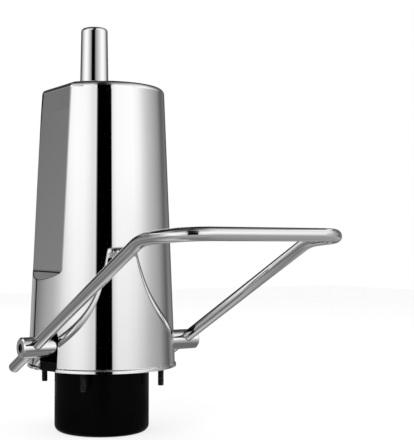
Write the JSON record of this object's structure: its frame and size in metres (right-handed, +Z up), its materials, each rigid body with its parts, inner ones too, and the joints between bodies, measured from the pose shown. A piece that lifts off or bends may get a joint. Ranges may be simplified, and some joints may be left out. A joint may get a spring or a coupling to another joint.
{
  "type": "barber chair hydraulic pump",
  "caption": "Foot-pumped hydraulic lift for a barber chair: a tapered chromed cover, a rising spindle that swivels, a pedal on a cross shaft, and an oil tank under a studded flange.",
  "frame": {"origin": "centre of the mounting face, the flange's underside, on the axis of the tank and of the stud pattern", "axes": "+Z up towards the spindle's tip; X along the pedal's cross shaft; the pedal reaches out towards -Y"},
  "size_m": [0.228, 0.4083, 0.4733],
  "materials": {
    "chrome": "polished",
    "black_paint": "satin",
    "black_casting": "satin, painted",
    "black_steel": "black oxide",
    "bright_steel": "ground",
    "bronze": "satin",
    "black_rubber": "matte",
    "wear_plastic": "matte"
  },
  "bodies": {
    "housing": {"pump_body": "black_casting", "cover": "chrome", "dust_ring": "black_rubber", "tank": "black_paint", "tank_gasket": "black_rubber", "base_studs": "black_steel", "cylinder_tube": "bright_steel", "cylinder_plug": "bright_steel", "cylinder_gland": "bright_steel", "guide_bush": "bronze", "rod_seal": "black_rubber", "wiper_seal": "black_rubber", "left_shaft_bush": "bronze", "right_shaft_bush": "bronze", "suction_strainer": "bright_steel", "delivery_spring": "bright_steel", "delivery_plug": "black_steel", "plunger_spring": "bright_steel", "release_spring": "bright_steel", "release_plug": "black_steel", "filler_plug": "black_steel"},
    "piston": {"piston": "bright_steel", "piston_cup_seal": "black_rubber", "piston_wear_ring": "wear_plastic", "thrust_washer": "bronze", "stop_tube": "bright_steel"},
    "ram": {"ram": "chrome"},
    "pedal": {"pedal_bar": "chrome", "cross_shaft": "chrome", "set_screws": "black_steel", "shaft_circlips": "black_steel", "pump_cam": "bright_steel", "cam_pin": "black_steel"},
    "plunger": {"plunger": "bright_steel", "plunger_seal": "black_rubber"},
    "suction_ball": {"suction_ball": "bright_steel"},
    "delivery_ball": {"delivery_ball": "bright_steel"},
    "release_pin": {"release_pin": "bright_steel"}
  },
  "joints": [
    {"name": "pedal_swing", "type": "hinge", "parent": "housing", "child": "pedal", "pos_m": [0, -0.0243, 0.0272], "axis": [1, 0, 0], "range_deg": [0, 26], "stiffness_Nm_per_rad": 6, "springref_deg": -28.65},
    {"name": "plunger_slide", "type": "slide", "parent": "housing", "child": "plunger", "axis": [0, 0, -1], "range_m": [0, 0.0074], "deforming": ["plunger_spring"]},
    {"name": "ram_lift", "type": "slide", "parent": "housing", "child": "piston", "axis": [0, 0, 1], "range_m": [0, 0.16]},
    {"name": "seat_swivel", "type": "hinge", "parent": "piston", "child": "ram", "pos_m": [0, 0.0213, 0], "axis": [0, 0, 1], "continuous": true},
    {"name": "suction_ball_lift", "type": "slide", "parent": "housing", "child": "suction_ball", "axis": [0, 0, 1], "range_m": [0, 0.001]},
    {"name": "delivery_ball_lift", "type": "slide", "parent": "housing", "child": "delivery_ball", "axis": [0, 0, 1], "range_m": [0, 0.0009], "stiffness_N_per_m": 200, "springref_m": -0.005, "deforming": ["delivery_spring"]},
    {"name": "release_push", "type": "slide", "parent": "housing", "child": "release_pin", "axis": [0, 0, -1], "range_m": [0, 0.001], "stiffness_N_per_m": 500, "springref_m": -0.004, "deforming": ["release_spring"]}
  ],
  "couplings": [
    {"joint": "plunger_slide", "follows": "pedal_swing", "m_per_rad": 0.01626}
  ]
}
